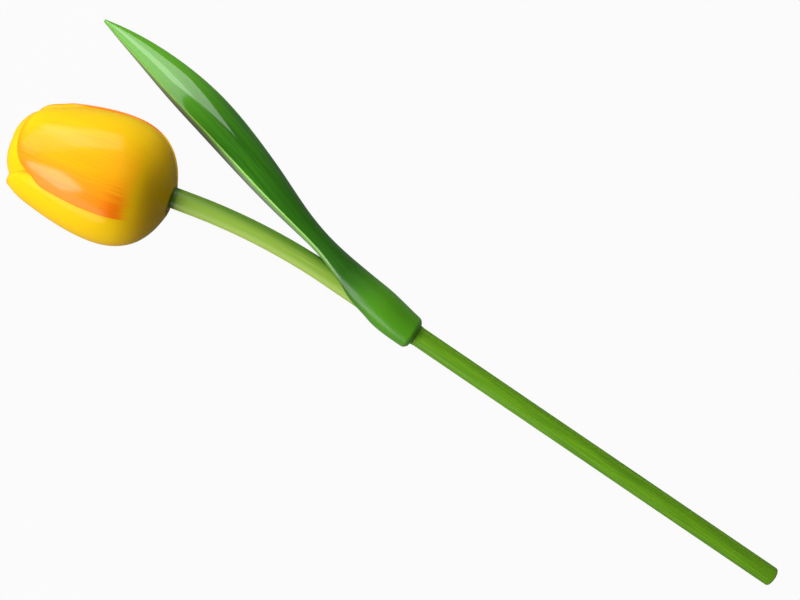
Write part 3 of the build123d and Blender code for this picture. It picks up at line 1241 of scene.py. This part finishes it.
    def petal_ring(self, paint: bpy.types.Material) -> bpy.types.NodeTree:
        """Builds the node tree that sets one petal all round the head's axis.

        Args:
            paint: the petals' material.

        Returns:
            The tree, with inputs for the number of petals, the first one's turn in degrees, and for the
            second and the last one how many degrees further it is turned than an even ring would have
            it, and by how much of its length it is longer.
        """
        tree, given = open_tree("Petals round the head", {
            "Petal": "NodeSocketGeometry", "Petals": "NodeSocketInt", "First turn": "NodeSocketFloat",
            "Second petal": "NodeSocketVector", "Last petal": "NodeSocketVector",
        })
        count = given["Petals"]
        spots = put(tree, "GeometryNodeMeshLine", {"Count": count, "Offset": (0, 0, 0)})
        number = put(tree, "GeometryNodeInputIndex").outputs[0]
        share = put(tree, "ShaderNodeMath", {0: number, 1: count}, operation="DIVIDE").outputs[0]
        turn = put(
            tree, "ShaderNodeMath", {0: share, 1: 360.0, 2: given["First turn"]}, operation="MULTIPLY_ADD"
        ).outputs[0]
        stretch = 1.0
        for place, which in enumerate(("Second petal", "Last petal"), start=1):
            own = put(tree, "ShaderNodeSeparateXYZ", {"Vector": given[which]}).outputs
            here = put(tree, "ShaderNodeMath", {0: number, 1: place, 2: 0.5}, operation="COMPARE").outputs[0]
            further = {0: here, 1: own["X"], 2: turn}
            turn = put(tree, "ShaderNodeMath", further, operation="MULTIPLY_ADD").outputs[0]
            longer = {0: here, 1: own["Y"], 2: stretch}
            stretch = put(tree, "ShaderNodeMath", longer, operation="MULTIPLY_ADD").outputs[0]
        angle = put(tree, "ShaderNodeMath", {0: turn}, operation="RADIANS").outputs[0]
        turned_by = put(tree, "FunctionNodeAxisAngleToRotation", {"Axis": (0, 0, 1), "Angle": angle})
        size = put(tree, "ShaderNodeCombineXYZ", {"X": 1.0, "Y": 1.0, "Z": stretch}).outputs[0]
        petals = put(tree, "GeometryNodeInstanceOnPoints", {
            "Points": spots.outputs[0], "Instance": given["Petal"],
            "Rotation": turned_by.outputs[0], "Scale": size,
        })
        close_tree(tree, petals.outputs[0], paint)
        return tree

    def place(self, lie: Lie, stick: Stick) -> Matrix:
        """Places the head on its stick.

        Args:
            lie: how the tulip lies.
            stick: the stick that the head is pushed on.

        Returns:
            The matrix from the head's own millimetres to the row frame.
        """
        sky = Vector((0, 0, 1))
        neck_end = stick.point(lie, stick.straight_length + stick.bend_length(lie) + stick.neck_length)
        return placing(neck_end - lie.head_way.cross(sky) * self.socket_offset, sky, lie.head_way)

    def build(self, lie: Lie, stick: Stick) -> list[bpy.types.Object]:
        """Builds the petals and the bud.

        Args:
            lie: how the tulip lies.
            stick: the stick that the head is pushed on.

        Returns:
            The painted petals and the painted bud.
        """
        place = self.place(lie, stick)
        paint = PetalPaint().material()
        loops, marks = self.petal_loops()
        petals = skinned("painted_petals", loops, marks, Matrix.Diagonal((MM, MM, MM, 1)))
        run_tree(petals, self.petal_ring(paint), {
            "Petals": self.petal_count, "First turn": self.first_turn,
            "Second petal": (*self.second_petal, 0.0), "Last petal": (*self.last_petal, 0.0),
        })
        petals.data.transform(place @ Matrix.Diagonal((1 / MM, 1 / MM, 1 / MM, 1)))

        loops, marks = self.bud_loops()
        bud = skinned("painted_bud", loops, marks, place)
        hole = stick.radius + self.socket_clearance
        socket = place @ Matrix.Translation((0, self.socket_offset, 0))
        drill = turned("drill", [
            (-2 * self.socket_chamfer, hole + 3 * self.socket_chamfer),
            (self.socket_chamfer, hole),
            (stick.tenon_length + self.socket_spare, hole),
        ], socket)
        drill_out(bud, drill)
        bud.data.materials.clear()
        bud.data.materials.append(paint)
        return [petals, bud]


def soft_minimum(first: float, second: np.ndarray, softness: float) -> np.ndarray:
    """Takes the smaller of two values, with a rounded change from one to the other.

    Args:
        first: one value.
        second: the other values.
        softness: how wide the change is.

    Returns:
        The rounded minimum.
    """
    return -softness * np.logaddexp(-first / softness, -second / softness)


def sunk(gap: np.ndarray, rounding: np.ndarray | float) -> np.ndarray:
    """Gives how far a rounded arris drops below its surface.

    Args:
        gap: the distance from the edge.
        rounding: the arris's radius.

    Returns:
        The drop, 0 past the rounding.
    """
    inside = 1 - np.clip(gap / rounding, 0, 1)
    return rounding * (1 - np.sqrt(1 - inside**2))


# The studio


@dataclass(frozen=True)
class SoftBox:
    """One soft lamp, placed by the way from the tulip's middle to it.

    Attributes:
        name: the lamp's name.
        way: the way to the lamp in the photograph: right, up and towards the viewer.
        distance: how far off it stands, in metres.
        size: its width and height, in metres.
        power: its power, in watts.
        mirrored: whether glossy surfaces show it.
    """

    name: str
    way: tuple[float, float, float]
    distance: float
    size: tuple[float, float]
    power: float
    mirrored: bool = True

    def build(self, right: Vector, up: Vector) -> None:
        """Adds the lamp.

        Args:
            right: the photograph's right, in the row frame.
            up: the photograph's up.
        """
        lamp = bpy.data.lights.new(self.name, "AREA")
        lamp.shape = "RECTANGLE"
        lamp.size, lamp.size_y = self.size
        lamp.energy = self.power
        way = right * self.way[0] + up * self.way[1] + Vector((0, 0, self.way[2]))
        box = bpy.data.objects.new(self.name, lamp)
        box.location = way.normalized() * self.distance
        box.rotation_euler = way.to_track_quat("Z", "Y").to_euler()
        box.visible_glossy = self.mirrored
        bpy.context.scene.collection.objects.link(box)


@dataclass(frozen=True)
class Studio:
    """The table, the lamps, the pale surroundings and the camera of the photograph."""

    camera_height: float = 0.700
    camera_place: tuple[float, float] = (-0.012015, 0.010311)
    camera_roll: float = 34.2867
    lens: float = 79.88
    sensor: float = 36.0
    floor_size: float = 8.0
    floor_drop: float = 0.0001
    floor_colour: str = "646464"
    floor_white: float = 0.96
    mirrored_white: float = 0.12
    ambient: float = 0.08
    ceiling: float = 0.02
    ceiling_heights: tuple[float, float] = (0.05, 0.25)
    lamps: tuple[SoftBox, ...] = (
        SoftBox("Softbox above", (-0.19, 0.89, 0.42), 0.9, (0.60, 0.50), 3.5),
        SoftBox("Softbox above left", (-0.62, 0.60, 0.50), 0.9, (0.88, 0.42), 3.5),
        SoftBox("Softbox left", (-0.78, -0.22, 0.59), 0.9, (0.33, 0.33), 4.5),
        SoftBox("Low softbox", (-0.68, -0.65, 0.33), 0.9, (0.76, 0.40), 2.9),
        SoftBox("Overhead", (0.05, 0.48, 0.87), 1.2, (0.90, 0.90), 3.0, False),
    )

    def camera(self) -> None:
        """Adds the camera straight above the table."""
        data = bpy.data.cameras.new("Camera")
        data.lens = self.lens
        data.sensor_width = self.sensor
        camera = bpy.data.objects.new("Camera", data)
        camera.location = (*self.camera_place, self.camera_height)
        camera.rotation_euler = (0, 0, radians(self.camera_roll))
        bpy.context.scene.collection.objects.link(camera)
        bpy.context.scene.camera = camera

    def floor(self) -> None:
        """Adds the pale floor, which the camera sees near white with the tulip's shadow."""
        mesh = bpy.data.meshes.new("floor")
        half = self.floor_size / 2
        corners = [(-half, -half), (half, -half), (half, half), (-half, half)]
        mesh.from_pydata([(x, y, -self.floor_drop) for x, y in corners], [], [(0, 1, 2, 3)])
        floor = bpy.data.objects.new("floor", mesh)
        bpy.context.scene.collection.objects.link(floor)
        paper = bpy.data.materials.new("Matt white paper")
        paper.use_nodes = True
        tree = paper.node_tree
        tree.nodes.remove(tree.nodes["Principled BSDF"])
        diffuse = put(tree, "ShaderNodeBsdfDiffuse", {"Color": linear(self.floor_colour)}).outputs[0]
        glow = put(tree, "ShaderNodeEmission", {"Color": (1, 1, 1, 1), "Strength": 1.0}).outputs[0]
        shown = self.shown_rays(tree)
        share = put(tree, "ShaderNodeMath", {0: shown, 1: self.floor_white}, operation="MULTIPLY").outputs[0]
        mixed = put(tree, "ShaderNodeMixShader", {0: share, 1: diffuse, 2: glow}).outputs[0]
        tree.links.new(mixed, tree.nodes["Material Output"].inputs["Surface"])
        mesh.materials.append(paper)

    def shown_rays(self, tree: bpy.types.NodeTree) -> bpy.types.NodeSocket:
        """Tells how white a ray finds the floor and the world.

        Args:
            tree: the material's or the world's tree.

        Returns:
            1 for rays from the camera or through glass, less for a gloss, and 0 for light on the object.
        """
        rays = put(tree, "ShaderNodeLightPath").outputs
        gloss = put(
            tree, "ShaderNodeMath", {0: rays["Is Glossy Ray"], 1: self.mirrored_white}, operation="MULTIPLY"
        ).outputs[0]
        shown = rays["Is Transmission Ray"]
        for other in (gloss, rays["Is Camera Ray"]):
            shown = put(tree, "ShaderNodeMath", {0: other, 1: shown}, operation="MAXIMUM").outputs[0]
        return shown

    def surroundings(self) -> None:
        """Makes the world: white to the camera, dim overhead in a gloss, a weak even light on the object."""
        world = bpy.data.worlds.new("Studio")
        world.use_nodes = True
        tree = world.node_tree
        way = put(tree, "ShaderNodeTexCoord").outputs["Generated"]
        height = put(tree, "ShaderNodeSeparateXYZ", {"Vector": way}).outputs["Z"]
        low, high = self.ceiling_heights
        backdrop = put(
            tree, "ShaderNodeMapRange", {0: height, 1: low, 2: high, 3: 1.0, 4: self.ceiling},
            interpolation_type="SMOOTHSTEP",
        ).outputs[0]
        shown = self.shown_rays(tree)
        strength = put(
            tree, "ShaderNodeMix", {0: shown, 2: self.ambient, 3: backdrop}, data_type="FLOAT"
        ).outputs[0]
        rays = put(tree, "ShaderNodeLightPath").outputs
        either = {0: rays["Is Camera Ray"], 1: rays["Is Transmission Ray"]}
        seen = put(tree, "ShaderNodeMath", either, operation="MAXIMUM").outputs[0]
        strength = put(tree, "ShaderNodeMix", {0: seen, 2: strength, 3: 1.0}, data_type="FLOAT").outputs[0]
        feed(tree, tree.nodes["Background"], {"Color": (1, 1, 1, 1), "Strength": strength})
        bpy.context.scene.world = world

    def build(self) -> None:
        """Sets the studio up."""
        bpy.context.scene.view_settings.view_transform = "Standard"
        self.camera()
        self.floor()
        self.surroundings()
        roll = radians(self.camera_roll)
        right, up = Vector((cos(roll), sin(roll), 0)), Vector((-sin(roll), cos(roll), 0))
        for lamp in self.lamps:
            lamp.build(right, up)


def ride_and_report(piece: bpy.types.Object, body: Body) -> None:
    """Fixes a finished piece to its body, names what it stands for, and reports it.

    Args:
        piece: the finished piece.
        body: the body that it rides on, whose one node it replaces.
    """
    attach(piece, body.value)
    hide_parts(body.value)
    log.info("%s rides on %s: %d faces", piece.name, body.value, len(piece.data.polygons))


def main() -> None:
    """Builds the tulip and its studio."""
    logging.basicConfig(level=logging.INFO, format="%(name)s: %(message)s")
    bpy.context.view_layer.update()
    Studio().build()
    lie = Lie.from_joints(frame["joints"])
    stick = Stick()
    ride_and_report(stick.build(lie), Body.STEM)
    ride_and_report(Leaf().build(lie, stick), Body.LEAF)
    for piece in FlowerHead().build(lie, stick):
        ride_and_report(piece, Body.FLOWER_HEAD)


if __name__ == "__main__":
    main()
